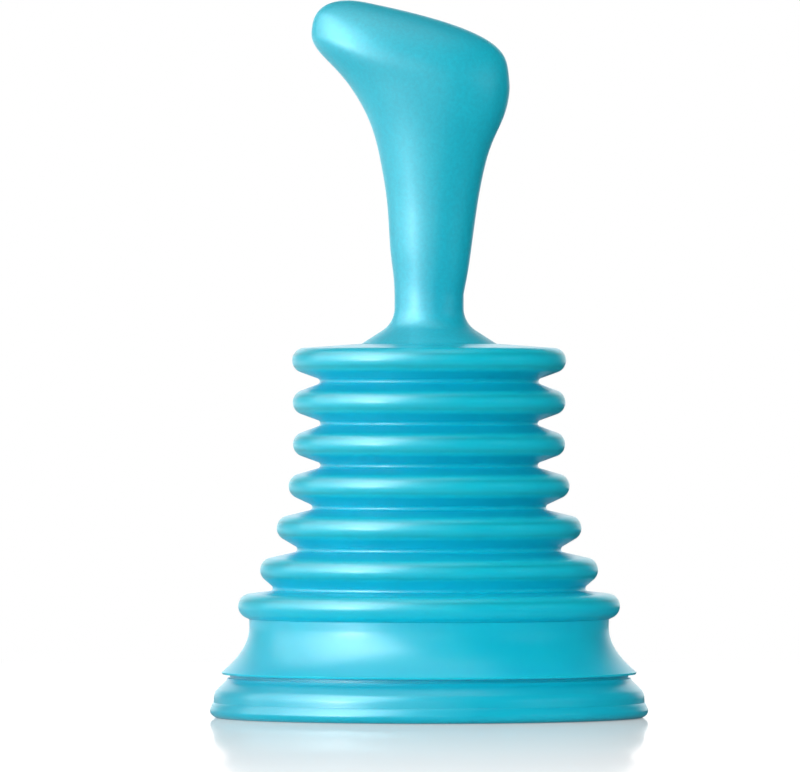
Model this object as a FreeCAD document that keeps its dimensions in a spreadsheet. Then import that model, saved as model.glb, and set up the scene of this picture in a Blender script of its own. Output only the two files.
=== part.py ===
import FreeCAD, Part
import math
import os
import Sketcher

# Sink plunger: a bellows cup with seven folds, a soft sealing ring under its skirt, and a
# hollow two-shell handle bolted to its top plate.
# Frame: millimetres, +Z up along the axis of the bellows, origin at the centre of the
# sealing ring's sole. The nose of the handle points to -X, and its shells part on XZ.

SIZES = {
    # sealing ring and skirt
    "base_radius": 70.0,
    "bead_radius": 2.4,
    "ring_wall_radius": 68.8,
    "ring_height": 12.5,
    "sole_radius": 54.0,
    "lip_radius": 66.3,
    "lip_height": 14.4,
    "lip_step": 2.6,
    "lip_step_height": 1.0,
    "waist_radius": 57.45,
    "waist_height": 28.8,
    "flare_radius": 14.8,
    "waist_rise": 2.5,
    "waist_inside_rise": 3.5,
    "tongue_radius": 61.5,
    "tongue_width": 1.8,
    "tongue_length": 5.0,
    "tongue_root_rise": 1.8,
    "bead_to_wall": 2.6,
    "shoulder_radius": 4.0,
    "shoulder_drop": 6.3,
    "ring_edge_inset": 1.6,
    "ring_edge_height": 0.8,
    "channel_wall": 2.0,
    "sole_fillet_radius": 1.5,
    "sole_fillet_height": 4.0,
    "sole_thickness": 1.6,
    # bellows
    "wall": 1.9,
    "nose_radius": 4.0,
    "valley_arc": 1.0,
    "fold_pitch": 13.4,
    "bottom_pitch": 11.5,
    "bottom_crest_height": 35.5,
    "crest_1": 43.8,
    "crest_2": 43.6,
    "crest_3": 43.5,
    "crest_4": 44.9,
    "crest_5": 48.7,
    "crest_6": 54.0,
    "crest_7": 61.0,
    "valley_1": 35.0,
    "valley_2": 34.8,
    "valley_3": 34.8,
    "valley_4": 37.4,
    "valley_5": 42.2,
    "valley_6": 50.0,
    "band_half_height": 2.6,
    # top plate and fastening
    "plate_centre_height": 118.8,
    "recess_radius": 22.0,
    "recess_depth": 0.8,
    "bolt_radius": 4.0,
    "bolt_length": 25.0,
    "hex_corner_radius": 7.5,
    "bolt_head_height": 5.3,
    "nut_height": 6.5,
    "nut_seat_height": 128.0,
    "gasket_thickness": 1.0,
    "disc_thickness": 2.0,
    "disc_radius": 30.0,
    "washer_thickness": 1.6,
    "washer_radius": 8.0,
    "lock_washer_thickness": 2.0,
    "lock_washer_radius": 6.8,
    "lock_washer_split": 1.2,
    "clearance": 0.15,
    # handle
    "stem_radius": 11.05,
    "stem_start_height": 135.0,
    "foot_flare_radius": 8.5,
    "foot_flare_height": 130.7,
    "foot_edge_height": 119.3,
    "handle_wall": 2.2,
    "hollow_start_height": 142.0,
    "bolt_room_reach": 3.0,
    "crown_height": 13.4,
}
FOLDS = 7
OVERREACH = 1.0  # how far a solid reaches past the face that it cuts or joins
SLAB_MARGIN = 10.0  # how far a cutting slab reaches past the moulding
HALF_SPAN = 80.0  # half the width of the block that takes one half of the handle

# Stations up the grip: the left and the right end of a section across it, and its half depth.
GRIP_STATIONS = [
    (-11.3, 140.0, 12.0, 140.0, 11.5),
    (-12.2, 147.5, 13.2, 147.5, 12.2),
    (-13.3, 163.0, 15.2, 162.0, 13.2),
    (-15.4, 177.0, 17.5, 174.5, 14.6),
    (-18.9, 190.0, 20.6, 184.5, 16.2),
    (-24.4, 200.3, 24.1, 192.5, 17.5),
    (-30.6, 207.9, 25.6, 198.8, 18.2),
]
HEAD_LEFT = (-37.6, 218.5)
HEAD_RIGHT = (25.5, 205.0)
HEAD_HALF_DEPTH = 17.7
CROWN_ANGLES = (25.0, 45.0, 62.0, 76.0, 86.0)
HOLLOW_CROWN_SECTIONS = 3  # the hollow stops below the last of the crown's sections
# How the ends of a section draw in over the crown: in proportion to its lift, then by a power
# of the turn towards the apex.
CROWN_LEFT = (-0.15, 17.5, 1.29)
CROWN_RIGHT = (0.33, 39.8, 1.63)
CROWN_DEPTH_CENTRE = 8.0  # the crown's cross section is an ellipse centred this far below it

doc = FreeCAD.newDocument("sink_plunger")
sheet = doc.addObject("Spreadsheet::Sheet", "Sizes")


class Dim:
    """A length that carries its value and the spreadsheet expression that gives it."""

    def __init__(self, value, text):
        self.value = value
        self.text = text

    def __add__(self, other):
        other = as_dim(other)
        return Dim(self.value + other.value, f"({self.text} + {other.text})")

    def __sub__(self, other):
        other = as_dim(other)
        return Dim(self.value - other.value, f"({self.text} - {other.text})")

    def __mul__(self, factor):
        return Dim(self.value * factor, f"({self.text} * {factor:.6f})")


def as_dim(number):
    return number if isinstance(number, Dim) else Dim(float(number), f"{float(number):.6f}")


def fill_sheet():
    for row, (alias, value) in enumerate(SIZES.items(), start=1):
        sheet.set(f"A{row}", alias.replace("_", " "))
        sheet.set(f"B{row}", str(value))
        sheet.setAlias(f"B{row}", alias)
    doc.recompute()


def size(alias):
    return Dim(float(getattr(sheet, alias)), f"Sizes.{alias}")


def bind(thing, path, length):
    """Give a property its value and bind it to the sheet."""
    thing.setExpression(path, as_dim(length).text)


class Vertex:
    """One vertex of an outline in r and z: a corner, or an arc about a centre.

    turn is +1 where the outline turns left round the centre, and -1 where it turns right.
    """

    def __init__(self, r, z, radius=0.0, turn=0):
        self.r = as_dim(r)
        self.z = as_dim(z)
        self.radius = as_dim(radius)
        self.turn = turn

    def touch(self, heading):
        """The point where a straight run with this heading touches the vertex."""
        side = heading - self.turn * math.pi / 2
        reach = self.radius.value if self.turn else 0.0
        return FreeCAD.Vector(
            self.r.value + reach * math.cos(side), self.z.value + reach * math.sin(side), 0
        )


def heading_between(here, there):
    """Heading of the straight run from one vertex to the next, tangent to any arcs."""
    run = math.hypot(there.r.value - here.r.value, there.z.value - here.z.value)
    bearing = math.atan2(there.z.value - here.z.value, there.r.value - here.r.value)
    offset = there.turn * there.radius.value - here.turn * here.radius.value
    return bearing - math.asin(offset / run)


def fix(sketch, geometry, point, vertex):
    """Hold a point of the sketch at a vertex's r and z."""
    across = Sketcher.Constraint("DistanceX", -1, 1, geometry, point, vertex.r.value)
    up = Sketcher.Constraint("DistanceY", -1, 1, geometry, point, vertex.z.value)
    bind(sketch, f"Constraints[{sketch.addConstraint(across)}]", vertex.r)
    bind(sketch, f"Constraints[{sketch.addConstraint(up)}]", vertex.z)


def draw_outline(sketch, vertices):
    """Draw a closed outline of straight runs and tangent arcs, bound to the sheet."""
    count = len(vertices)
    headings = [heading_between(vertices[i], vertices[(i + 1) % count]) for i in range(count)]
    for i, heading in enumerate(headings):
        run = Part.LineSegment(
            vertices[i].touch(heading), vertices[(i + 1) % count].touch(heading)
        )
        sketch.addGeometry(run, False)
    for i, vertex in enumerate(vertices):
        before = (i - 1) % count
        if not vertex.turn:
            sketch.addConstraint(Sketcher.Constraint("Coincident", before, 2, i, 1))
            fix(sketch, i, 1, vertex)
            continue
        angles = [heading - vertex.turn * math.pi / 2 for heading in (headings[before], headings[i])]
        ends = (1, 2)
        if vertex.turn < 0:
            angles.reverse()
            ends = (2, 1)
        centre = FreeCAD.Vector(vertex.r.value, vertex.z.value, 0)
        circle = Part.Circle(centre, FreeCAD.Vector(0, 0, 1), vertex.radius.value)
        arc = sketch.addGeometry(Part.ArcOfCircle(circle, *angles), False)
        sketch.addConstraint(Sketcher.Constraint("Tangent", before, 2, arc, ends[0]))
        sketch.addConstraint(Sketcher.Constraint("Tangent", arc, ends[1], i, 1))
        fix(sketch, arc, 3, vertex)
        radius = sketch.addConstraint(Sketcher.Constraint("Radius", arc, vertex.radius.value))
        bind(sketch, f"Constraints[{radius}]", vertex.radius)


def turned(name, vertices):
    """A body turned about the Z axis from an outline in r and z."""
    body = doc.addObject("PartDesign::Body", name)
    plane = next(f for f in body.Origin.OriginFeatures if f.Role == "XZ_Plane")
    sketch = body.newObject("Sketcher::SketchObject", f"{name}_outline")
    sketch.AttachmentSupport = [(plane, "")]
    sketch.MapMode = "FlatFace"
    draw_outline(sketch, vertices)
    revolution = body.newObject("PartDesign::Revolution", f"{name}_turned")
    revolution.Profile = sketch
    revolution.ReferenceAxis = (sketch, ["V_Axis"])
    revolution.Angle = 360
    sketch.Visibility = False
    return body


def cylinder(name, radius, low, high):
    rod = doc.addObject("Part::Cylinder", name)
    bind(rod, "Radius", radius)
    bind(rod, "Height", as_dim(high) - low)
    bind(rod, "Placement.Base.z", low)
    return rod


def hexagon(name, corner_radius, low, height):
    prism = doc.addObject("Part::Prism", name)
    prism.Polygon = 6
    bind(prism, "Circumradius", corner_radius)
    bind(prism, "Height", height)
    bind(prism, "Placement.Base.z", low)
    return prism


def combine(kind, name, base, tool):
    """A Part boolean of two objects: Part::Cut, Part::Fuse or Part::Common."""
    result = doc.addObject(kind, name)
    result.Base = base
    result.Tool = tool
    return result


# ---------------------------------------------------------------- bellows moulding


def crest_height(fold):
    """Height of a fold's crest. Fold 1 is at the top, and fold 7 is on the skirt."""
    if fold == FOLDS:
        return size("bottom_crest_height")
    steps = FOLDS - 1 - fold
    return size("bottom_crest_height") + size("bottom_pitch") + size("fold_pitch") * steps


def valley_height(fold):
    """Height of the valley below a fold, half way to the next crest down."""
    return (crest_height(fold) + crest_height(fold + 1)) * 0.5


def nose(fold, inner=False):
    radius = size("nose_radius")
    centre = size(f"crest_{fold}") - radius
    if inner:
        return Vertex(centre, crest_height(fold), radius - size("wall"), -1)
    return Vertex(centre, crest_height(fold), radius, 1)


def valley(fold, inner=False):
    radius = size("valley_arc")
    centre = size(f"valley_{fold}") + radius
    if inner:
        return Vertex(centre, valley_height(fold), radius + size("wall"), 1)
    return Vertex(centre, valley_height(fold), radius, -1)


def plate_underside():
    return crest_height(1) + size("nose_radius") - size("wall")


def bellows_moulding():
    """The whole moulding: tongue, skirt, seven folds and the top plate."""
    ring_top = size("ring_height")
    tongue_in = size("tongue_radius") - size("tongue_width") * 0.5
    tongue_out = size("tongue_radius") + size("tongue_width") * 0.5
    tongue_end = ring_top - size("tongue_length")
    step = size("lip_radius") - size("lip_step")
    flare_centre = size("waist_radius") + size("flare_radius")
    skirt_inside = size("waist_radius") - size("wall")
    plate = plate_underside()
    recess_floor = size("plate_centre_height") - size("recess_depth")
    bore = size("bolt_radius") + size("clearance")
    vertices = [
        Vertex(tongue_in, tongue_end),
        Vertex(tongue_out, tongue_end),
        Vertex(tongue_out, ring_top),
        Vertex(step, ring_top),
        Vertex(step, ring_top + size("lip_step_height")),
        Vertex(size("lip_radius"), size("lip_height")),
        Vertex(flare_centre, size("waist_height"), size("flare_radius"), -1),
        Vertex(size("waist_radius"), size("waist_height") + size("waist_rise")),
        nose(FOLDS),
    ]
    for fold in range(FOLDS - 1, 0, -1):
        vertices += [valley(fold), nose(fold)]
    vertices += [
        Vertex(size("recess_radius"), size("plate_centre_height")),
        Vertex(size("recess_radius"), recess_floor),
        Vertex(bore, recess_floor),
        Vertex(bore, plate),
    ]
    for fold in range(1, FOLDS):
        vertices += [nose(fold, inner=True), valley(fold, inner=True)]
    vertices += [
        nose(FOLDS, inner=True),
        Vertex(skirt_inside, size("waist_height") + size("waist_inside_rise")),
        Vertex(flare_centre, size("waist_height"), size("flare_radius") + size("wall"), 1),
        Vertex(tongue_in, size("lip_height") + size("tongue_root_rise")),
    ]
    return turned("bellows", vertices)


def slice_of(moulding, name, low, high):
    """The part of the moulding between two heights."""
    slab = cylinder(f"{name}_slab", size("base_radius") + SLAB_MARGIN, low, high)
    return combine("Part::Common", name, moulding, slab)


def bellows_parts():
    """Stiff crest bands, and the thin flanks and valleys that flex between them."""
    moulding = bellows_moulding()
    band = size("band_half_height")
    parts = [slice_of(moulding, "skirt_cup", 0, crest_height(FOLDS) + band)]
    for fold in range(FOLDS - 1, 0, -1):
        web_low = crest_height(fold + 1) + band
        web_high = crest_height(fold) - band
        parts.append(slice_of(moulding, f"fold_web_{fold}", web_low, web_high))
        if fold > 1:
            band_top = crest_height(fold) + band
            parts.append(slice_of(moulding, f"fold_ring_{fold}", web_high, band_top))
    top = size("plate_centre_height") + SLAB_MARGIN
    parts.append(slice_of(moulding, "top_fold", crest_height(1) - band, top))
    return parts


def sealing_ring():
    """Soft ring: a beaded foot, a stepped shoulder, a channel for the tongue and a flat sole."""
    top = size("ring_height")
    gap = size("clearance")
    bead = size("bead_radius")
    wall_radius = size("ring_wall_radius")
    channel_in = size("tongue_radius") - size("tongue_width") * 0.5 - gap
    channel_out = size("tongue_radius") + size("tongue_width") * 0.5 + gap
    channel_floor = top - size("tongue_length") - gap
    inner_wall = channel_in - size("channel_wall")
    shoulder = size("shoulder_radius")
    edge_radius = size("lip_radius") - size("ring_edge_inset")
    fillet = size("sole_fillet_radius")
    vertices = [
        Vertex(size("sole_radius"), 0),
        Vertex(wall_radius, 0),
        Vertex(size("base_radius") - bead, bead, bead, 1),
        Vertex(wall_radius, bead + size("bead_to_wall")),
        Vertex(wall_radius - shoulder, top - size("shoulder_drop"), shoulder, 1),
        Vertex(edge_radius, top - size("ring_edge_height")),
        Vertex(edge_radius, top),
        Vertex(channel_out, top),
        Vertex(channel_out, channel_floor),
        Vertex(channel_in, channel_floor),
        Vertex(channel_in, top),
        Vertex(inner_wall, top),
        Vertex(inner_wall - fillet, size("sole_fillet_height"), fillet, -1),
        Vertex(size("sole_radius"), size("sole_thickness")),
    ]
    return turned("sealing_ring", vertices)


# ---------------------------------------------------------------- fastening stack


def flat_ring(name, bore, radius, low, high):
    """A flat ring, such as a gasket or a washer."""
    corners = [(bore, low), (radius, low), (radius, high), (bore, high)]
    return turned(name, [Vertex(r, z) for r, z in corners])


def fastening_parts():
    """Gasket, clamp disc, washers, bolt and nut, from the top plate downwards."""
    bore = size("bolt_radius") + size("clearance")
    high = plate_underside()
    parts = []
    stack = [
        ("gasket", size("disc_radius"), size("gasket_thickness")),
        ("clamp_disc", size("disc_radius"), size("disc_thickness")),
        ("flat_washer", size("washer_radius"), size("washer_thickness")),
    ]
    for name, radius, thickness in stack:
        low = high - thickness
        parts.append(flat_ring(name, bore, radius, low, high))
        high = low
    low = high - size("lock_washer_thickness")
    coil = flat_ring("lock_washer_coil", bore, size("lock_washer_radius"), low, high)
    split = doc.addObject("Part::Box", "lock_washer_split")
    bind(split, "Width", size("lock_washer_split"))
    bind(split, "Length", size("lock_washer_radius") + OVERREACH)
    bind(split, "Height", size("lock_washer_thickness") + 2 * OVERREACH)
    bind(split, "Placement.Base.z", low - OVERREACH)
    parts.append(combine("Part::Cut", "lock_washer", coil, split))
    head = hexagon(
        "bolt_head", size("hex_corner_radius"), low - size("bolt_head_height"), size("bolt_head_height")
    )
    shank = cylinder("bolt_shank", size("bolt_radius"), low - OVERREACH, low + size("bolt_length"))
    parts.append(combine("Part::Fuse", "bolt", head, shank))
    nut_block = hexagon("nut_block", size("hex_corner_radius"), size("nut_seat_height"), size("nut_height"))
    nut_top = size("nut_seat_height") + size("nut_height")
    nut_bore = cylinder("nut_bore", bore, size("nut_seat_height") - OVERREACH, nut_top + OVERREACH)
    parts.append(combine("Part::Cut", "hex_nut", nut_block, nut_bore))
    return parts


# ---------------------------------------------------------------- handle


def section(name, left, right, half_depth, inset):
    """An elliptical section across the handle, square to the XZ plane."""
    across = FreeCAD.Vector(right[0] - left[0], 0, right[1] - left[1])
    middle = FreeCAD.Vector(left[0] + right[0], 0, left[1] + right[1]) * 0.5
    ellipse = doc.addObject("Part::Ellipse", name)
    half_length = as_dim(across.Length / 2) - inset
    bind(ellipse, "MajorRadius", half_length)
    bind(ellipse, "MinorRadius", as_dim(half_depth) - inset)
    tilt = FreeCAD.Rotation(FreeCAD.Vector(1, 0, 0), across)
    ellipse.Placement = FreeCAD.Placement(middle, tilt)
    return ellipse


def crown_sections(angles, height, inset):
    """Sections that close the head: they rise square to its widest one, and shrink."""
    chord = (HEAD_RIGHT[0] - HEAD_LEFT[0], HEAD_RIGHT[1] - HEAD_LEFT[1])
    length = math.hypot(*chord)
    along = (chord[0] / length, chord[1] / length)
    rise = (-along[1], along[0])
    start = CROWN_DEPTH_CENTRE / (CROWN_DEPTH_CENTRE + height)
    sections = []
    for angle in angles:
        lift = height * math.sin(math.radians(angle))
        drawn = 1 - math.cos(math.radians(angle))
        left_in = CROWN_LEFT[0] * lift + CROWN_LEFT[1] * drawn ** CROWN_LEFT[2]
        right_in = CROWN_RIGHT[0] * lift + CROWN_RIGHT[1] * drawn ** CROWN_RIGHT[2]
        risen = (CROWN_DEPTH_CENTRE + lift) / (CROWN_DEPTH_CENTRE + height)
        half_depth = HEAD_HALF_DEPTH * math.sqrt((1 - risen**2) / (1 - start**2))
        left = [HEAD_LEFT[k] + left_in * along[k] + lift * rise[k] for k in (0, 1)]
        right = [HEAD_RIGHT[k] - right_in * along[k] + lift * rise[k] for k in (0, 1)]
        name = f"crown_{len(sections)}_{'inner' if inset else 'outer'}"
        sections.append((name, left, right, half_depth))
    return sections


def grip_sections(start, inset):
    """Every section from a height on the stem up to the crown."""
    label = "inner" if inset else "outer"
    radius = size("stem_radius").value
    sections = [(f"stem_{label}", (-radius, start), (radius, start), radius)]
    for index, (left_x, left_z, right_x, right_z, depth) in enumerate(GRIP_STATIONS):
        name = f"grip_{index}_{label}"
        sections.append((name, (left_x, left_z), (right_x, right_z), depth))
    sections.append((f"head_{label}", HEAD_LEFT, HEAD_RIGHT, HEAD_HALF_DEPTH))
    height = size("crown_height").value - (size("handle_wall").value if inset else 0)
    angles = CROWN_ANGLES[:HOLLOW_CROWN_SECTIONS] if inset else CROWN_ANGLES
    sections += crown_sections(angles, height, inset)
    return [section(*row, inset) for row in sections]


def loft(name, sections):
    skin = doc.addObject("Part::Loft", name)
    skin.Sections = sections
    skin.Solid = True
    skin.Ruled = False
    return skin


def handle_parts():
    """Two shells, parted on the XZ plane, that hold the nut captive in the foot."""
    gap = size("clearance")
    seat = size("plate_centre_height") - size("recess_depth")
    foot_radius = size("recess_radius") - gap
    stem = size("stem_radius")
    start = size("stem_start_height")
    foot = turned(
        "handle_foot",
        [
            Vertex(size("bolt_radius") + gap, seat),
            Vertex(foot_radius, seat),
            Vertex(foot_radius, size("foot_edge_height")),
            Vertex(
                stem + size("foot_flare_radius"),
                size("foot_flare_height"),
                size("foot_flare_radius"),
                -1,
            ),
            Vertex(stem, start),
            Vertex(size("bolt_radius") + gap, start),
        ],
    )
    grip = loft("grip", grip_sections(start.value, 0))
    hollow = loft("hollow", grip_sections(size("hollow_start_height").value, size("handle_wall")))
    shell = combine("Part::Cut", "grip_shell", grip, hollow)
    whole = combine("Part::Fuse", "handle_whole", foot, shell)
    nut_room = hexagon(
        "nut_room",
        size("hex_corner_radius") + gap,
        size("nut_seat_height"),
        size("nut_height") + gap,
    )
    room_top = start + size("bolt_room_reach")
    bolt_room = cylinder("bolt_room", size("bolt_radius") + gap, seat - OVERREACH, room_top)
    room = combine("Part::Fuse", "hardware_room", nut_room, bolt_room)
    bored = combine("Part::Cut", "handle_bored", whole, room)
    halves = []
    for name, low in (("handle_front", -HALF_SPAN), ("handle_rear", 0.0)):
        side = doc.addObject("Part::Box", f"{name}_side")
        side.Length = 2 * HALF_SPAN
        side.Width = HALF_SPAN
        side.Height = 2 * HALF_SPAN
        side.Placement.Base = FreeCAD.Vector(-HALF_SPAN, low, seat.value - OVERREACH)
        halves.append(combine("Part::Common", name, bored, side))
    return halves


def write(parts):
    """Check every object of the document, then write each sub-part's solid."""
    doc.recompute()
    for thing in doc.Objects:
        if "Invalid" in thing.State or "Error" in thing.State:
            raise RuntimeError(f"{thing.Label} failed: {thing.State}")
    os.makedirs("parts", exist_ok=True)
    for part in parts:
        shape = part.Shape
        if shape.isNull() or not shape.isValid() or shape.Volume <= 0:
            raise RuntimeError(f"{part.Label} has no valid solid")
        shape.exportStep(f"parts/{part.Label}.step")
        box = shape.BoundBox
        print(part.Label, len(shape.Solids), round(shape.Volume), round(box.ZMin, 2), round(box.ZMax, 2))


fill_sheet()
write([sealing_ring()] + bellows_parts() + fastening_parts() + handle_parts())
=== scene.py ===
import math

import bmesh
import bpy
import numpy as np
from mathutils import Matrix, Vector


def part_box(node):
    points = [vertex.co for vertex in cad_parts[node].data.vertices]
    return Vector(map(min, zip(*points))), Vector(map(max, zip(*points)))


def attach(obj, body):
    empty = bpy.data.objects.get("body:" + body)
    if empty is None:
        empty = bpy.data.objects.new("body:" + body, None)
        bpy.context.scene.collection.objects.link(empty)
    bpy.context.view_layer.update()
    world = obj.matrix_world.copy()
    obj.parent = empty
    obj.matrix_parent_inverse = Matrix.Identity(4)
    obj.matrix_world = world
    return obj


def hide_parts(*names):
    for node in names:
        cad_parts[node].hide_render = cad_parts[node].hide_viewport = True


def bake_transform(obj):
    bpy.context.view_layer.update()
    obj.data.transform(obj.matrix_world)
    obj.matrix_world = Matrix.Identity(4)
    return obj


# Looks of the sink plunger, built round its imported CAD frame. Lengths below are in
# millimetres and become metres as the meshes are made.

MM = 0.001
SEGMENTS = 256  # round the axis
ARC_STEP = math.radians(5.0)
RUN_STEP = 0.9
NEAR = 0.02  # a cut leaves out the outline's own points that are nearer to it than this

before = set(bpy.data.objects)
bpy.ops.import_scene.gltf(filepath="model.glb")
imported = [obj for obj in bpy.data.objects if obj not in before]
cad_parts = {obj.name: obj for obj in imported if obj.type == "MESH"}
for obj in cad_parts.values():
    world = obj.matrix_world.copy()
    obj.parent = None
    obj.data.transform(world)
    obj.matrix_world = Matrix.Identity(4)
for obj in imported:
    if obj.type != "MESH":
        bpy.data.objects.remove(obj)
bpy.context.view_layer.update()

# ---------------------------------------------------------------- sizes

FOLDS = 7
WALL = 1.9
NOSE_RADIUS = 4.0
VALLEY_ARC = 1.0
CUT = 1.9  # half the height of the stiff band on each crest
VALLEY_RADII = {1: 35.0, 2: 34.8, 3: 34.8, 4: 37.4, 5: 42.2, 6: 50.0}
CREST_7 = (61.0, 35.5)  # radius and height of the skirt's own fold
WAIST = (57.45, 28.8)
LIP = (66.26, 14.4)
TONGUE = (60.6, 62.4)
RING_TOP = 12.5
TONGUE_END = 7.5
LIP_STEP = 2.6
CLEARANCE = 0.15
BORE = 4.0 + CLEARANCE
RECESS_RADIUS = 22.0
WAIST_RISE, WAIST_INSIDE_RISE = 2.5, 3.5


def cad_crest(fold):
    """Radius and height of a fold's crest, read from its CAD ring."""
    low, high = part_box(f"fold_ring_{fold}")
    return high.x / MM, (low.z + high.z) / 2 / MM


CRESTS = {fold: cad_crest(fold) for fold in range(2, FOLDS)}
CRESTS[FOLDS] = CREST_7
fold_pitch = CRESTS[2][1] - CRESTS[3][1]
CRESTS[1] = (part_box("top_fold")[1].x / MM, CRESTS[2][1] + fold_pitch)
PLATE_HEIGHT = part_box("top_fold")[1].z / MM
PLATE_UNDERSIDE = CRESTS[1][1] + NOSE_RADIUS - WALL
RECESS_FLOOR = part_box("handle_front")[0].z / MM

# ---------------------------------------------------------------- outlines


class Vertex:
    """One vertex of an outline in r and z: a corner, or an arc about a centre.

    turn is +1 where the outline turns left round the centre, and -1 where it turns right.
    """

    def __init__(self, r, z, radius=0.0, turn=0):
        self.centre = np.array((r, z), float)
        self.radius = radius
        self.turn = turn

    def touch(self, heading):
        side = heading - self.turn * math.pi / 2
        reach = self.radius if self.turn else 0.0
        return self.centre + reach * np.array((math.cos(side), math.sin(side)))


def heading_between(here, there):
    across = there.centre - here.centre
    offset = there.turn * there.radius - here.turn * here.radius
    return math.atan2(across[1], across[0]) - math.asin(offset / np.hypot(*across))


def trace(vertices, closed=False):
    """Points along an outline of straight runs and tangent arcs."""
    count = len(vertices)
    last = count if closed else count - 1
    headings = [heading_between(vertices[i], vertices[(i + 1) % count]) for i in range(last)]
    points = []
    for i, vertex in enumerate(vertices):
        before = headings[i - 1] if i or closed else headings[0]
        after = headings[i] if i < last else before
        swing = (after - before + math.pi) % (2 * math.pi) - math.pi
        if vertex.turn and swing * vertex.turn < 0:
            swing += vertex.turn * 2 * math.pi
        steps = max(1, math.ceil(abs(swing) / ARC_STEP)) if vertex.turn else 0
        arc = [vertex.touch(before + swing * k / steps) for k in range(steps + 1)] if steps else []
        points += arc or [vertex.centre]
        if i < last:
            start, end = points[-1], vertices[(i + 1) % count].touch(after)
            pieces = math.ceil(np.hypot(*(end - start)) / RUN_STEP)
            points += [start + (end - start) * k / pieces for k in range(1, pieces)]
    return np.array(points)


def nose(fold, inner=False):
    radius, height = CRESTS[fold]
    centre = radius - NOSE_RADIUS
    if inner:
        return Vertex(centre, height, NOSE_RADIUS - WALL, -1)
    return Vertex(centre, height, NOSE_RADIUS, 1)


def valley(fold, inner=False):
    height = (CRESTS[fold][1] + CRESTS[fold + 1][1]) / 2
    centre = VALLEY_RADII[fold] + VALLEY_ARC
    if inner:
        return Vertex(centre, height, VALLEY_ARC + WALL, 1)
    return Vertex(centre, height, VALLEY_ARC, -1)


def flare(inset=0.0, steps=26):
    """The skirt's concave flare from its lip up to its waist, a parabola in r against z."""
    slack = LIP[0] - WAIST[0]
    drop = WAIST[1] - LIP[1]
    points = []
    for k in range(steps + 1):
        z = LIP[1] + drop * k / steps
        below = (WAIST[1] - z) / drop
        slope = 2 * slack * below / drop
        normal = np.array((1.0, slope)) / math.hypot(1.0, slope)
        points.append(np.array((WAIST[0] + slack * below**2, z)) - normal * inset)
    return np.array(points)


def bellows_outer():
    """Outside of the folds, from the corner above the waist to the rim of the recess."""
    vertices = [Vertex(WAIST[0], WAIST[1] + WAIST_RISE), nose(FOLDS)]
    for fold in range(FOLDS - 1, 0, -1):
        vertices += [valley(fold), nose(fold)]
    vertices += [
        Vertex(RECESS_RADIUS + 0.6, PLATE_HEIGHT - 0.05, 0.5, 1),
        Vertex(RECESS_RADIUS, PLATE_HEIGHT - 0.7),
    ]
    return trace(vertices)


def bellows_inner():
    """Inside of the folds, in the same upward order."""
    vertices = [Vertex(BORE, PLATE_UNDERSIDE)]
    for fold in range(1, FOLDS):
        vertices += [nose(fold, inner=True), valley(fold, inner=True)]
    vertices += [nose(FOLDS, inner=True), Vertex(WAIST[0] - WALL, WAIST[1] + WAIST_INSIDE_RISE)]
    return trace(vertices)[::-1]


def outside_normals(points):
    """Unit normals of a polyline, to the right of the way it runs."""
    ahead = np.gradient(points, axis=0)
    normals = np.stack((ahead[:, 1], -ahead[:, 0]), axis=1)
    return normals / np.linalg.norm(normals, axis=1)[:, None]


def between(points, low, high):
    """The stretch of an upward polyline between two heights, ends included, with normals."""
    heights = points[:, 1]
    normals = outside_normals(points)
    inside = (heights > low + NEAR) & (heights < high - NEAR)

    def at(height):
        k = int(np.argmax(heights > height))
        share = (height - heights[k - 1]) / (heights[k] - heights[k - 1])
        return [rows[k - 1] + share * (rows[k] - rows[k - 1]) for rows in (points, normals)]

    (start, start_normal), (end, end_normal) = at(low), at(high)
    line = np.vstack(([start], points[inside], [end]))
    return line, (start_normal, end_normal)


# ---------------------------------------------------------------- meshes


def new_object(name, vertices, faces, material, sharp=35.0):
    mesh = bpy.data.meshes.new(name)
    mesh.from_pydata(vertices, [], faces)
    mesh.validate()
    mesh.update()
    mesh.polygons.foreach_set("use_smooth", [True] * len(mesh.polygons))
    mesh.set_sharp_from_angle(angle=math.radians(sharp))
    mesh.materials.append(material)
    piece = bpy.data.objects.new(name, mesh)
    bpy.context.collection.objects.link(piece)
    return piece


def turned(name, outline, material, border_normals=None):
    """A closed ring turned from a closed outline that runs counterclockwise in r and z.

    border_normals maps an index of the outline to the (r, z) normal that its vertices keep,
    so that two pieces of one moulding shade alike where they meet.
    """
    outline = np.asarray(outline) * MM
    count = len(outline)
    turns = np.arange(SEGMENTS) * 2 * math.pi / SEGMENTS
    radial = np.stack((np.cos(turns), np.sin(turns)), axis=1)
    ring = radial[:, None, :] * outline[None, :, 0, None]
    height = np.broadcast_to(outline[None, :, 1, None], (SEGMENTS, count, 1))
    vertices = np.concatenate((ring, height), axis=2).reshape(-1, 3)
    faces = []
    for s in range(SEGMENTS):
        here, there = s * count, ((s + 1) % SEGMENTS) * count
        for k in range(count):
            after = (k + 1) % count
            faces.append((here + k, there + k, there + after, here + after))
    piece = new_object(name, vertices, faces, material)
    if border_normals:
        keep_normals(piece.data, count, radial, border_normals)
    return piece


def keep_normals(mesh, count, radial, border_normals):
    """Gives the border vertices' loops their stated normal, except on the cut faces."""
    loops = np.zeros((len(mesh.loops), 3))
    for face in mesh.polygons:
        columns = [v % count for v in face.vertices]
        if all(c in border_normals for c in columns):
            continue
        for loop, vertex in zip(face.loop_indices, face.vertices):
            if vertex % count in border_normals:
                r, z = border_normals[vertex % count]
                x, y = radial[vertex // count]
                loops[loop] = (r * x, r * y, z)
    mesh.normals_split_custom_set(loops.tolist())


# ---------------------------------------------------------------- materials


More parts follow.
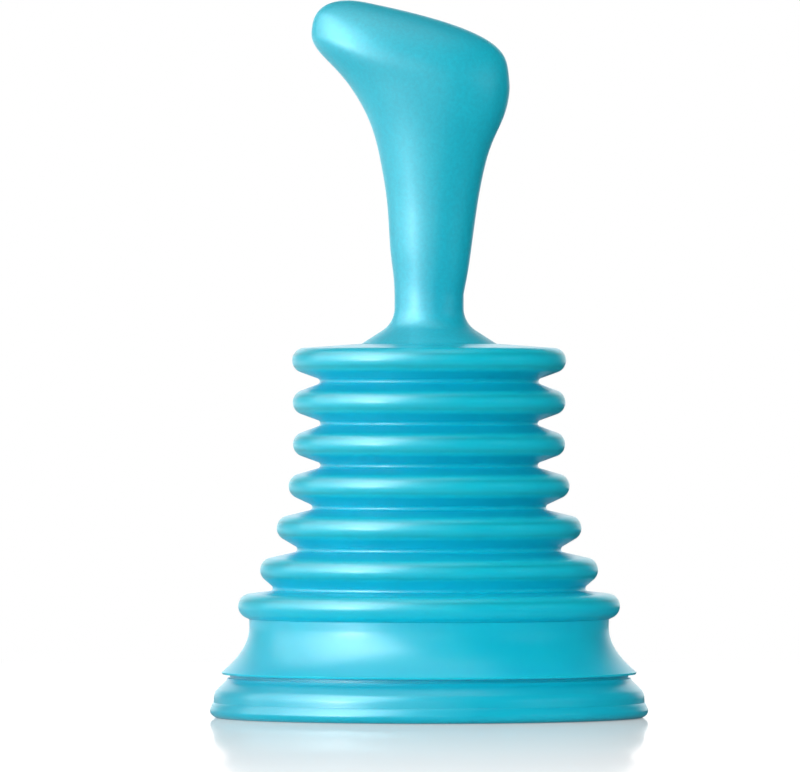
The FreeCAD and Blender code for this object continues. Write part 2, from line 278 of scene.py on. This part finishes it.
class Nodes:
    """A material's node tree, with short ways to add and link nodes."""

    def __init__(self, name):
        self.material = bpy.data.materials.new(name)
        self.material.use_nodes = True
        self.tree = self.material.node_tree
        self.shader = self.tree.nodes["Principled BSDF"]
        self.coords = self.tree.nodes.new("ShaderNodeTexCoord").outputs["Object"]

    def noise(self, scale, detail=4.0, roughness=0.5, stretch=None):
        vector = self.coords
        if stretch:
            mapping = self.tree.nodes.new("ShaderNodeMapping")
            mapping.inputs["Scale"].default_value = stretch
            self.tree.links.new(vector, mapping.inputs["Vector"])
            vector = mapping.outputs["Vector"]
        node = self.tree.nodes.new("ShaderNodeTexNoise")
        node.inputs["Scale"].default_value = scale
        node.inputs["Detail"].default_value = detail
        node.inputs["Roughness"].default_value = roughness
        self.tree.links.new(vector, node.inputs["Vector"])
        return node.outputs["Fac"]

    def spread(self, value, low, high, start=0.3, end=0.7):
        node = self.tree.nodes.new("ShaderNodeMapRange")
        node.inputs["From Min"].default_value = start
        node.inputs["From Max"].default_value = end
        node.inputs["To Min"].default_value = low
        node.inputs["To Max"].default_value = high
        self.tree.links.new(value, node.inputs["Value"])
        return node.outputs["Result"]

    def mix(self, factor, first, second):
        node = self.tree.nodes.new("ShaderNodeMix")
        node.data_type = "RGBA"
        self.tree.links.new(factor, node.inputs["Factor"])
        for key, value in (("A", first), ("B", second)):
            socket = next(i for i in node.inputs if i.name == key and i.type == "RGBA")
            if isinstance(value, tuple):
                socket.default_value = (*value, 1.0)
            else:
                self.tree.links.new(value, socket)
        return next(o for o in node.outputs if o.type == "RGBA")

    def bump(self, height, strength, distance, under=None):
        node = self.tree.nodes.new("ShaderNodeBump")
        node.inputs["Strength"].default_value = strength
        node.inputs["Distance"].default_value = distance
        self.tree.links.new(height, node.inputs["Height"])
        if under:
            self.tree.links.new(under, node.inputs["Normal"])
        return node.outputs["Normal"]

    def set(self, **values):
        for name, value in values.items():
            socket = self.shader.inputs[name.replace("_", " ")]
            if isinstance(value, bpy.types.NodeSocket):
                self.tree.links.new(value, socket)
            elif isinstance(value, tuple):
                socket.default_value = (*value, 1.0) if socket.type == "RGBA" else value
            else:
                socket.default_value = value


def bellows_material():
    """Glossy soft plastic: an even, faintly cloudy blue with a slight orange peel."""
    n = Nodes("bellows_plastic")
    cloud = n.spread(n.noise(55.0, 5.0), 0.0, 1.0)
    colour = n.mix(cloud, (0.001, 0.530, 0.715), (0.003, 0.560, 0.745))
    peel = n.bump(n.noise(300.0, 2.0), 0.05, 0.0003)
    fine = n.bump(n.noise(2600.0, 2.0), 0.03, 0.0001, peel)
    n.set(
        Base_Color=colour,
        Roughness=0.31,
        Normal=fine,
        Subsurface_Weight=0.5,
        Subsurface_Radius=(0.2, 0.8, 1.0),
        Subsurface_Scale=0.006,
        IOR=1.5,
    )
    return n.material


def handle_material():
    """Satin plastic with a fine mottled grain."""
    n = Nodes("handle_plastic")
    speckle = n.spread(n.noise(800.0, 6.0, 0.75), 0.0, 1.0, 0.36, 0.64)
    blotch = n.spread(n.noise(60.0, 3.0), 0.0, 1.0)
    light = n.mix(blotch, (0.001, 0.490, 0.630), (0.003, 0.520, 0.660))
    dark = n.mix(blotch, (0.001, 0.415, 0.550), (0.002, 0.440, 0.575))
    grain = n.bump(n.noise(1500.0, 4.0, 0.7), 0.20, 0.00012)
    n.set(
        Base_Color=n.mix(speckle, dark, light),
        Roughness=0.40,
        Normal=n.bump(n.noise(260.0, 4.0), 0.08, 0.0005, grain),
        Subsurface_Weight=0.08,
        Subsurface_Radius=(0.2, 0.7, 1.0),
        Subsurface_Scale=0.001,
        IOR=1.6,
    )
    return n.material


def ring_material():
    """The softer, slightly duller rubber of the sealing ring."""
    n = Nodes("ring_rubber")
    cloud = n.spread(n.noise(45.0, 3.0), 0.0, 1.0)
    n.set(
        Base_Color=n.mix(cloud, (0.001, 0.460, 0.620), (0.003, 0.490, 0.650)),
        Roughness=0.28,
        Normal=n.bump(n.noise(300.0, 2.0), 0.05, 0.0003),
        Subsurface_Weight=0.3,
        Subsurface_Radius=(0.2, 0.8, 1.0),
        Subsurface_Scale=0.002,
        IOR=1.5,
    )
    return n.material


def steel_material():
    """Zinc-plated steel: fine scratches, a faint cloudy passivation and worn patches."""
    n = Nodes("plated_steel")
    cloud = n.spread(n.noise(180.0, 5.0, 0.6), 0.0, 1.0)
    scratch = n.noise(900.0, 3.0, 0.6, (1.0, 0.06, 1.0))
    n.set(
        Base_Color=n.mix(cloud, (0.50, 0.51, 0.53), (0.66, 0.67, 0.68)),
        Metallic=1.0,
        Roughness=n.spread(n.noise(400.0, 4.0), 0.24, 0.44),
        Normal=n.bump(scratch, 0.12, 0.0002),
    )
    return n.material


def gasket_material():
    """Matte black rubber with a fine pitted surface and a little dust."""
    n = Nodes("gasket_rubber")
    dust = n.spread(n.noise(240.0, 6.0, 0.7), 0.0, 1.0, 0.45, 0.8)
    n.set(
        Base_Color=n.mix(dust, (0.018, 0.018, 0.020), (0.05, 0.05, 0.048)),
        Roughness=n.spread(n.noise(500.0, 4.0), 0.6, 0.8),
        Normal=n.bump(n.noise(1400.0, 3.0), 0.25, 0.0002),
    )
    return n.material


bellows_plastic = bellows_material()
handle_plastic = handle_material()
ring_rubber = ring_material()
plated_steel = steel_material()
gasket_rubber = gasket_material()

# ---------------------------------------------------------------- bellows

OUTER = bellows_outer()
INNER = bellows_inner()


def moulding_piece(name, low, high):
    """A ring of the bellows between two heights, with flat cut faces."""
    outer, outer_normals = between(OUTER, low, high)
    inner, inner_normals = between(INNER, low, high)
    outline = np.vstack((outer, inner[::-1]))
    ends = {
        0: outer_normals[0],
        len(outer) - 1: outer_normals[1],
        len(outer): -inner_normals[1],
        len(outline) - 1: -inner_normals[0],
    }
    return turned(name, outline, bellows_plastic, ends)


def skirt():
    """Skirt below the cut over its own fold: tongue, stepped lip, flare, waist and crest."""
    low_outer = [
        (TONGUE[0], TONGUE_END),
        (TONGUE[1], TONGUE_END),
        (TONGUE[1], RING_TOP),
        (LIP[0] - LIP_STEP, RING_TOP),
        (LIP[0] - LIP_STEP, RING_TOP + 1.0),
        (LIP[0] - 0.25, LIP[1] - 0.65),
        (LIP[0] - 0.02, LIP[1] - 0.25),
    ]
    top = CRESTS[FOLDS][1] + CUT
    corner = OUTER[0]
    inner_corner = INNER[0]
    outer, outer_normals = between(OUTER, corner[1] + 0.03, top)
    inner, inner_normals = between(INNER, inner_corner[1] + 0.03, top)
    inner_flare = flare(WALL)
    inner_flare = inner_flare[inner_flare[:, 0] < TONGUE[0]]
    outline = np.vstack((low_outer, flare(), outer, inner[::-1], [inner_corner], inner_flare[::-1]))
    first = len(low_outer) + len(flare()) + len(outer) - 1
    ends = {first: outer_normals[1], first + 1: -inner_normals[1]}
    return turned("skirt", outline, bellows_plastic, ends)


def top_plate():
    """The plate above the cut on the top crest, with the recess that seats the handle."""
    low = CRESTS[1][1] + CUT
    outer, outer_normals = between(OUTER, low, OUTER[:, 1].max())
    outer = outer[:-1]
    rim = OUTER[np.argmax(OUTER[:, 1]) :]
    inner = INNER[INNER[:, 1] > low + NEAR][::-1]
    start = between(INNER, low, low + 0.1)[0][0]
    recess = [(RECESS_RADIUS, RECESS_FLOOR), (BORE, RECESS_FLOOR)]
    outline = np.vstack((outer, rim, recess, inner, [start]))
    ends = {0: outer_normals[0]}
    return turned("top_plate", outline, bellows_plastic, ends)


def build_bellows():
    """Skirt, webs, crests and plate. The skirt goes with the base and the plate with the handle."""
    base = skirt()
    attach(base, "base")
    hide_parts("skirt_cup")
    for fold in range(FOLDS - 1, 0, -1):
        low, high = CRESTS[fold + 1][1] + CUT, CRESTS[fold][1] - CUT
        web = moulding_piece(f"web_{fold}_skin", low, high)
        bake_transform(web)
        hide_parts(f"fold_web_{fold}")
        top = high + 2 * CUT
        crest = moulding_piece(f"crest_{fold}", high, top)
        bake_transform(crest)
        if fold > 1:
            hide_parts(f"fold_ring_{fold}")
    plate = top_plate()
    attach(plate, "handle")
    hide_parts("top_fold")


# ---------------------------------------------------------------- sealing ring


def build_sealing_ring():
    """Beaded foot, a step, a shoulder and a groove under the lip, and a flat inward sole."""
    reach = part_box("sealing_ring")[1].x / MM
    sole = 54.0
    vertices = [
        Vertex(sole + 0.4, 0.0),
        Vertex(reach - 1.6, 0.0),
        Vertex(reach - 1.9, 2.1, 1.9, 1),
        Vertex(reach - 0.75, 4.3),
        Vertex(reach - 1.15, 4.75),
        Vertex(reach - 5.2, 6.2, 4.0, 1),
        Vertex(LIP[0] - 1.5, RING_TOP - 0.7),
        Vertex(LIP[0] - 1.8, RING_TOP),
        Vertex(TONGUE[1] + CLEARANCE, RING_TOP),
        Vertex(TONGUE[1] + CLEARANCE, TONGUE_END - CLEARANCE),
        Vertex(TONGUE[0] - CLEARANCE, TONGUE_END - CLEARANCE),
        Vertex(TONGUE[0] - CLEARANCE, RING_TOP),
        Vertex(TONGUE[0] - CLEARANCE - 2.0, RING_TOP),
        Vertex(TONGUE[0] - CLEARANCE - 3.5, 4.0, 1.5, -1),
        Vertex(sole, 1.6),
        Vertex(sole, 0.5),
    ]
    ring = turned("seal_ring", trace(vertices, closed=True), ring_rubber)
    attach(ring, "base")
    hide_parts("sealing_ring")


# ---------------------------------------------------------------- handle

HANDLE_WALL = 2.2
STEM_RADIUS = 11.05
STEM_START = 135.0
FOOT_EDGE = 119.3
FLARE_RADIUS, FLARE_HEIGHT = 8.5, 130.7
GRIP_STATIONS = [
    # left end, right end and half depth of sections up the grip
    (-11.3, 140.0, 12.0, 140.0, 11.5),
    (-12.2, 147.5, 13.2, 147.5, 12.2),
    (-13.3, 163.0, 15.2, 162.0, 13.2),
    (-15.4, 177.0, 17.5, 174.5, 14.6),
    (-18.9, 190.0, 20.6, 184.5, 16.2),
    (-24.4, 200.3, 24.1, 192.5, 17.5),
    (-30.6, 207.9, 25.6, 198.8, 18.2),
]
HEAD_LEFT = np.array((-37.6, 218.5))
HEAD_RIGHT = np.array((25.5, 205.0))
HEAD_HALF_DEPTH = 17.7
CROWN_HEIGHT = 13.35
# How the ends of a section draw in over the crown: in proportion to its lift, then by a power
# of the turn towards the apex.
CROWN_LEFT = (-0.15, 17.5, 1.29)
CROWN_RIGHT = (0.33, 39.8, 1.63)
CROWN_DEPTH_CENTRE = 8.0  # the crown's cross section is an ellipse centred this far below it
NUT_SEAT, NUT_TOP, HOLLOW_START = 128.0, 134.65, 142.0
NUT_ROOM_RADIUS = 7.7
SWELL = 0.25  # how much squarer than an ellipse the widest sections are
SWELL_FROM, SWELL_OVER = 12.0, 18.0  # half lengths over which the swell comes in
SEAM_DEPTH = 0.14
SEAM_HALF_TURN = 0.012


def clamped_spline(knots, values, start_slope, end_slope):
    """Second derivatives of a cubic spline through values, with its end slopes given."""
    count = len(knots)
    steps = np.diff(knots)
    matrix = np.zeros((count, count))
    right = np.zeros((count, values.shape[1]))
    slopes = np.diff(values, axis=0) / steps[:, None]
    matrix[0, :2] = 2 * steps[0], steps[0]
    right[0] = 6 * (slopes[0] - start_slope)
    matrix[-1, -2:] = steps[-1], 2 * steps[-1]
    right[-1] = 6 * (end_slope - slopes[-1])
    for k in range(1, count - 1):
        matrix[k, k - 1 : k + 2] = steps[k - 1], 2 * (steps[k - 1] + steps[k]), steps[k]
        right[k] = 6 * (slopes[k] - slopes[k - 1])
    return np.linalg.solve(matrix, right)


def sample_spline(knots, values, bends, at):
    """The spline's value at one place."""
    k = int(np.clip(np.searchsorted(knots, at) - 1, 0, len(knots) - 2))
    width = knots[k + 1] - knots[k]
    a, b = (knots[k + 1] - at) / width, (at - knots[k]) / width
    curve = ((a**3 - a) * bends[k] + (b**3 - b) * bends[k + 1]) * width**2 / 6
    return a * values[k] + b * values[k + 1] + curve


def grip_rows(steps=110):
    """(left x, left z, right x, right z, half depth) rows from the stem to the widest section."""
    stem = (-STEM_RADIUS, STEM_START, STEM_RADIUS, STEM_START, STEM_RADIUS)
    values = np.array([stem, *GRIP_STATIONS, (*HEAD_LEFT, *HEAD_RIGHT, HEAD_HALF_DEPTH)])
    middles = (values[:, 0:2] + values[:, 2:4]) / 2
    knots = np.concatenate(([0.0], np.cumsum(np.hypot(*np.diff(middles, axis=0).T))))
    start_slope = np.array((-0.02, 1.0, 0.15, 1.0, 0.05))
    end_slope = np.array((0.08, 1.25, -0.083, 0.78, -0.3))
    bends = clamped_spline(knots, values, start_slope, end_slope)
    return [sample_spline(knots, values, bends, t) for t in np.linspace(0, knots[-1], steps)]


def crown_rows(height, steps=44):
    """Rows over the crown. They rise square to the widest section, and shrink."""
    chord = HEAD_RIGHT - HEAD_LEFT
    along = chord / float(np.hypot(*chord))
    rise = np.array((-along[1], along[0]))
    start = CROWN_DEPTH_CENTRE / (CROWN_DEPTH_CENTRE + height)
    rows = []
    for k in range(1, steps):
        angle = math.pi / 2 * k / steps
        drawn = 1 - math.cos(angle)
        lift = height * math.sin(angle)
        left_in = CROWN_LEFT[0] * lift + CROWN_LEFT[1] * drawn ** CROWN_LEFT[2]
        right_in = CROWN_RIGHT[0] * lift + CROWN_RIGHT[1] * drawn ** CROWN_RIGHT[2]
        left = HEAD_LEFT + left_in * along + lift * rise
        right = HEAD_RIGHT - right_in * along + lift * rise
        risen = (CROWN_DEPTH_CENTRE + lift) / (CROWN_DEPTH_CENTRE + height)
        depth = HEAD_HALF_DEPTH * math.sqrt((1 - risen**2) / (1 - start**2))
        rows.append(np.array((*left, *right, depth)))
    return rows


def foot_rows():
    """Round rows of the foot: a thin flange edge, then a flare up into the stem."""
    foot_radius = RECESS_RADIUS - CLEARANCE
    outline = trace(
        [
            Vertex(foot_radius, RECESS_FLOOR),
            Vertex(foot_radius - 0.4, FOOT_EDGE - 0.4, 0.4, 1),
            Vertex(STEM_RADIUS + FLARE_RADIUS, FLARE_HEIGHT, FLARE_RADIUS, -1),
            Vertex(STEM_RADIUS, STEM_START),
        ]
    )
    return [np.array((-r, z, r, z, r)) for r, z in outline[:-1]]


def inside_row(row):
    """The row's partner on the inside: the bolt's bore, the nut's room or the hollow."""
    middle = (row[1] + row[3]) / 2
    if middle < HOLLOW_START:
        radius = BORE
        if NUT_SEAT < middle < NUT_TOP:
            radius = NUT_ROOM_RADIUS
        return np.array((-radius, row[1], radius, row[3], radius))
    left, right = row[0:2], row[2:4]
    along = (right - left) / np.hypot(*(right - left))
    inset = min(HANDLE_WALL, np.hypot(*(right - left)) * 0.4)
    depth = max(row[4] - HANDLE_WALL, row[4] * 0.3)
    return np.array((*(left + along * inset), *(right - along * inset), depth))


def ring_points(row, turns, groove=0.0):
    """Points of a rounded section; the parting edges draw in by groove."""
    left, right, depth = row[0:2], row[2:4], row[4]
    middle, half = (left + right) / 2, (right - left) / 2
    widened = min(1.0, max(0.0, (np.hypot(*half) - SWELL_FROM) / SWELL_OVER))
    swell = 2.0 + SWELL * widened
    points = []
    for turn in turns:
        c, s = math.cos(turn), math.sin(turn)
        x = math.copysign(abs(c) ** (2 / swell), c)
        y = math.copysign(abs(s) ** (2 / swell), s) if abs(s) > 1e-9 else 0.0
        draw = 1 - groove / max(np.hypot(*half), 1.0) if abs(s) < 1e-9 else 1.0
        spot = middle + half * x * draw
        points.append((spot[0] * MM, depth * y * MM, spot[1] * MM))
    return points


def handle_half(name, start_turn):
    """One closed shell, with the parting edge a hair under the surface."""
    outer_rows = foot_rows() + grip_rows() + crown_rows(CROWN_HEIGHT)
    lower_crown = crown_rows(CROWN_HEIGHT - HANDLE_WALL)
    inner_rows = [inside_row(row) for row in outer_rows[: -len(lower_crown)] + lower_crown]
    across = 64
    turns = [start_turn + math.pi * k / across for k in range(across + 1)]
    turns.insert(1, start_turn + SEAM_HALF_TURN)
    turns.insert(-1, start_turn + math.pi - SEAM_HALF_TURN)
    columns = len(turns)
    vertices, faces = [], []
    for row in outer_rows:
        vertices += ring_points(row, turns, SEAM_DEPTH)
    inner_start = len(vertices)
    for row in inner_rows:
        vertices += ring_points(row, turns)
    rows = len(outer_rows)
    for k in range(rows - 1):
        for c in range(columns - 1):
            a, b = k * columns + c, (k + 1) * columns + c
            faces.append((a, a + 1, b + 1, b))
            a, b = a + inner_start, b + inner_start
            faces.append((a + 1, a, b, b + 1))
        for c, flip in ((0, False), (columns - 1, True)):
            a, b = k * columns + c, (k + 1) * columns + c
            quad = (a, b, b + inner_start, a + inner_start)
            faces.append(quad[::-1] if flip else quad)
    for c in range(columns - 1):
        a = inner_start + c
        faces.append((c + 1, c, a, a + 1))
    for start, flip in (((rows - 1) * columns, False), (inner_start + (rows - 1) * columns, True)):
        cap = tuple(range(start, start + columns))
        faces.append(cap[::-1] if flip else cap)
    a, b = (rows - 1) * columns, inner_start + (rows - 1) * columns
    faces.append((a, b, b + columns - 1, a + columns - 1)[::-1])
    piece = new_object(name, vertices, faces, handle_plastic, 40.0)
    tidy = bmesh.new()
    tidy.from_mesh(piece.data)
    bmesh.ops.remove_doubles(tidy, verts=tidy.verts, dist=1e-7)
    bmesh.ops.recalc_face_normals(tidy, faces=tidy.faces)
    tidy.to_mesh(piece.data)
    tidy.free()
    return piece


def build_handle():
    """The two shells of the handle, front and rear."""
    for node, start_turn in (("handle_front", math.pi), ("handle_rear", 0.0)):
        half = handle_half(f"{node}_shell", start_turn)
        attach(half, "handle")
        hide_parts(node)


# ---------------------------------------------------------------- hardware


def dress_hardware():
    """The fastening keeps its CAD shapes and takes real surfaces."""
    finishes = {
        "gasket": gasket_rubber,
        "clamp_disc": plated_steel,
        "flat_washer": plated_steel,
        "lock_washer": plated_steel,
        "bolt": plated_steel,
        "hex_nut": plated_steel,
    }
    for node, material in finishes.items():
        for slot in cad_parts[node].material_slots:
            slot.material = material


build_bellows()
build_sealing_ring()
build_handle()
dress_hardware()

# ---------------------------------------------------------------- stage, light and camera


def build_floor():
    """A white table that mirrors the foot of the object and fades into the backdrop."""
    n = Nodes("white_table")
    haze = n.spread(n.noise(6.0, 2.0), 0.0, 1.0)
    n.set(
        Base_Color=n.mix(haze, (0.80, 0.80, 0.80), (0.82, 0.82, 0.82)),
        Roughness=0.5,
        Specular_IOR_Level=0.0,
        Emission_Color=(1.0, 1.0, 1.0),
        Emission_Strength=0.46,
    )
    new, link = n.tree.nodes.new, n.tree.links.new
    gloss = new("ShaderNodeBsdfGlossy")
    gloss.inputs["Roughness"].default_value = 0.045
    polished = new("ShaderNodeMixShader")
    polished.inputs["Fac"].default_value = 0.50
    link(n.shader.outputs["BSDF"], polished.inputs[1])
    link(gloss.outputs["BSDF"], polished.inputs[2])
    away = new("ShaderNodeVectorMath")
    away.operation = "LENGTH"
    link(n.coords, away.inputs[0])
    across = new("ShaderNodeSeparateXYZ")
    link(n.coords, across.inputs["Vector"])
    path = new("ShaderNodeLightPath")
    unseen = n.spread(across.outputs["X"], 1.0, 0.03, -0.45, 0.1)
    strength = new("ShaderNodeMix")
    link(path.outputs["Is Camera Ray"], strength.inputs["Factor"])
    link(unseen, strength.inputs["A"])
    strength.inputs["B"].default_value = 1.0
    glow = new("ShaderNodeEmission")
    link(strength.outputs["Result"], glow.inputs["Strength"])
    share = new("ShaderNodeMath")
    share.operation = "MAXIMUM"
    link(n.spread(away.outputs["Value"], 0.0, 1.0, 0.12, 0.70), share.inputs[0])
    bounce = new("ShaderNodeMath")
    bounce.operation = "MULTIPLY_ADD"
    link(path.outputs["Is Diffuse Ray"], bounce.inputs[0])
    bounce.inputs[1].default_value = 0.6
    link(path.outputs["Is Glossy Ray"], bounce.inputs[2])
    link(bounce.outputs["Value"], share.inputs[1])
    faded = new("ShaderNodeMixShader")
    link(share.outputs["Value"], faded.inputs["Fac"])
    link(polished.outputs["Shader"], faded.inputs[1])
    link(glow.outputs["Emission"], faded.inputs[2])
    link(faded.outputs["Shader"], n.tree.nodes["Material Output"].inputs["Surface"])
    bpy.ops.mesh.primitive_plane_add(size=60.0, location=(0, 0, -0.0002))
    floor = bpy.context.object
    floor.name = "table_top"
    floor.data.materials.append(n.material)


def build_card():
    """A card behind the object, soft at its sides, that is seen only in reflections."""
    card = Nodes("white_card")
    new, link = card.tree.nodes.new, card.tree.links.new
    shine = new("ShaderNodeEmission")
    shine.inputs["Strength"].default_value = 1.7
    across = new("ShaderNodeSeparateXYZ")
    link(card.coords, across.inputs["Vector"])
    aside = new("ShaderNodeMath")
    aside.operation = "ABSOLUTE"
    link(across.outputs["X"], aside.inputs[0])
    soft = new("ShaderNodeMixShader")
    link(card.spread(aside.outputs["Value"], 1.0, 0.0, 0.20, 0.50), soft.inputs["Fac"])
    link(new("ShaderNodeBsdfTransparent").outputs["BSDF"], soft.inputs[1])
    link(shine.outputs["Emission"], soft.inputs[2])
    link(soft.outputs["Shader"], card.tree.nodes["Material Output"].inputs["Surface"])
    upright = (math.pi / 2, 0, 0)
    bpy.ops.mesh.primitive_plane_add(size=1.0, location=(0, 1.6, 0.45), rotation=upright)
    backdrop = bpy.context.object
    backdrop.name = "white_card"
    backdrop.scale = (2.2, 0.9, 1.0)
    backdrop.visible_diffuse = False
    backdrop.visible_camera = False
    backdrop.data.materials.append(card.material)


def area_light(name, azimuth, elevation, distance, width, height, power, rays):
    """A soft box aimed at the object. Azimuth 0 is the camera's side, and grows to its right.

    "matt" keeps it out of reflections, and "gloss" shows it only in them.
    """
    target = Vector((0, 0, 0.11))
    a, e = math.radians(azimuth), math.radians(elevation)
    toward = Vector((math.sin(a) * math.cos(e), -math.cos(a) * math.cos(e), math.sin(e)))
    data = bpy.data.lights.new(name, "AREA")
    data.shape = "RECTANGLE"
    data.size, data.size_y = width, height
    data.energy = power
    lamp = bpy.data.objects.new(name, data)
    lamp.visible_glossy = rays == "gloss"
    lamp.visible_diffuse = rays == "matt"
    lamp.location = target + toward * distance
    lamp.rotation_euler = (-toward).to_track_quat("-Z", "Y").to_euler()
    bpy.context.collection.objects.link(lamp)


def build_world():
    """White to the camera. As light, it fades from the left of the object to the right."""
    world = bpy.data.worlds.new("studio")
    world.use_nodes = True
    tree = world.node_tree
    background = tree.nodes["Background"]
    coords = tree.nodes.new("ShaderNodeTexCoord")
    axes = tree.nodes.new("ShaderNodeSeparateXYZ")
    tree.links.new(coords.outputs["Generated"], axes.inputs["Vector"])
    across = tree.nodes.new("ShaderNodeMapRange")
    across.inputs["From Min"].default_value = -0.9
    across.inputs["From Max"].default_value = 0.3
    across.inputs["To Min"].default_value = 0.45
    across.inputs["To Max"].default_value = 0.06
    tree.links.new(axes.outputs["X"], across.inputs["Value"])
    path = tree.nodes.new("ShaderNodeLightPath")
    strength = tree.nodes.new("ShaderNodeMix")
    tree.links.new(path.outputs["Is Camera Ray"], strength.inputs["Factor"])
    tree.links.new(across.outputs["Result"], strength.inputs["A"])
    strength.inputs["B"].default_value = 1.0
    tree.links.new(strength.outputs["Result"], background.inputs["Strength"])
    background.inputs["Color"].default_value = (1.0, 1.0, 1.0, 1.0)
    bpy.context.scene.world = world


def build_light():
    """Soft light from all round the front, and wide bright panels to the left for the shine."""
    build_world()
    area_light("front_fill", -15, 8, 2.0, 1.6, 1.0, 21.0, "matt")
    area_light("right_fill", 66, 12, 2.0, 1.4, 1.0, 15.5, "matt")
    area_light("left_fill", -80, 20, 1.8, 1.4, 1.0, 5.4, "matt")
    area_light("overhead_fill", -10, 80, 1.4, 0.9, 0.9, 5.2, "matt")
    area_light("wide_panel", -72, 26, 1.5, 3.0, 2.0, 42.0, "gloss")
    area_light("left_panel", -56, 28, 1.5, 1.7, 2.0, 38.0, "gloss")
    area_light("left_strip", -52, 24, 1.5, 0.75, 1.6, 16.0, "gloss")
    area_light("front_panel", -4, 28, 1.5, 1.3, 2.0, 3.5, "gloss")
    area_light("left_core", -49, 5, 1.4, 0.16, 0.16, 3.8, "gloss")
    area_light("top_panel", -70, 76, 1.5, 1.4, 1.8, 7.0, "gloss")


def build_camera():
    """A long lens, level with the bellows, on the side that faces -Y."""
    distance = 3.4
    frame_width = 0.2557
    target = Vector((-0.0093, 0, 0.1058))
    data = bpy.data.cameras.new("camera")
    data.sensor_width = 36.0
    data.lens = data.sensor_width * distance / frame_width
    data.clip_end = 100.0
    camera = bpy.data.objects.new("camera", data)
    back = Vector((0, -1, 0))
    camera.location = target + back * distance
    camera.rotation_euler = (-back).to_track_quat("-Z", "Y").to_euler()
    bpy.context.collection.objects.link(camera)
    bpy.context.scene.camera = camera


build_floor()
build_card()
build_light()
build_camera()
bpy.context.scene.view_settings.view_transform = "Standard"
